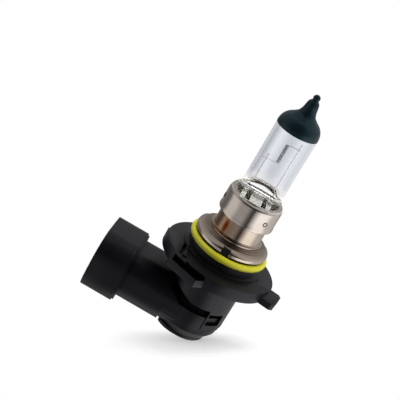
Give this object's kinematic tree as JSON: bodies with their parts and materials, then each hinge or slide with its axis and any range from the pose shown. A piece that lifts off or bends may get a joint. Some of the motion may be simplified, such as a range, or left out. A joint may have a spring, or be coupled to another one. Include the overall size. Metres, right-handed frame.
{
  "type": "halogen headlight bulb",
  "caption": "Halogen headlight bulb: clear glass capsule with a black-coated tip on a metal collar, keyed plastic base with a sealing ring and a side connector.",
  "frame": {"origin": "centre of the cap ring's underside, on the lamp axis", "axes": "+Z along the lamp axis towards the glass tip, connector mouth towards -X, +Y completes the right-handed frame"},
  "size_m": [0.0513, 0.0391, 0.0813],
  "materials": {
    "glass": "clear, polished",
    "black_coat": "semi-gloss black opaque coat",
    "tungsten": "drawn tungsten, matt grey",
    "lead_wire": "drawn molybdenum wire",
    "moly_foil": "thin rolled foil",
    "spring_steel": "stamped, bright",
    "stainless": "drawn stainless sheet with a warm heat tint",
    "insulator": "fired ceramic, matt",
    "oring": "yellow moulded silicone",
    "black_plastic": "fine-grained black moulding",
    "potting": "cast resin",
    "terminal": "tin-plated brass strip"
  },
  "bodies": {
    "root": {"glass_envelope": "glass", "tip_coating": "black_coat", "filament": "tungsten", "lead_wire_long": "lead_wire", "lead_wire_short": "lead_wire", "foil_long": "moly_foil", "foil_short": "moly_foil", "outer_lead_long": "lead_wire", "outer_lead_short": "lead_wire", "pinch_clamp": "spring_steel", "collar_sleeve": "stainless", "neck_ferrule": "stainless", "cap_ring": "stainless", "lead_spacer": "insulator", "oring_seal": "oring", "base_housing": "black_plastic", "potting_seal": "potting", "connector_housing": "black_plastic", "terminal_long": "terminal", "terminal_short": "terminal", "rear_cap": "black_plastic"}
  },
  "joints": []
}
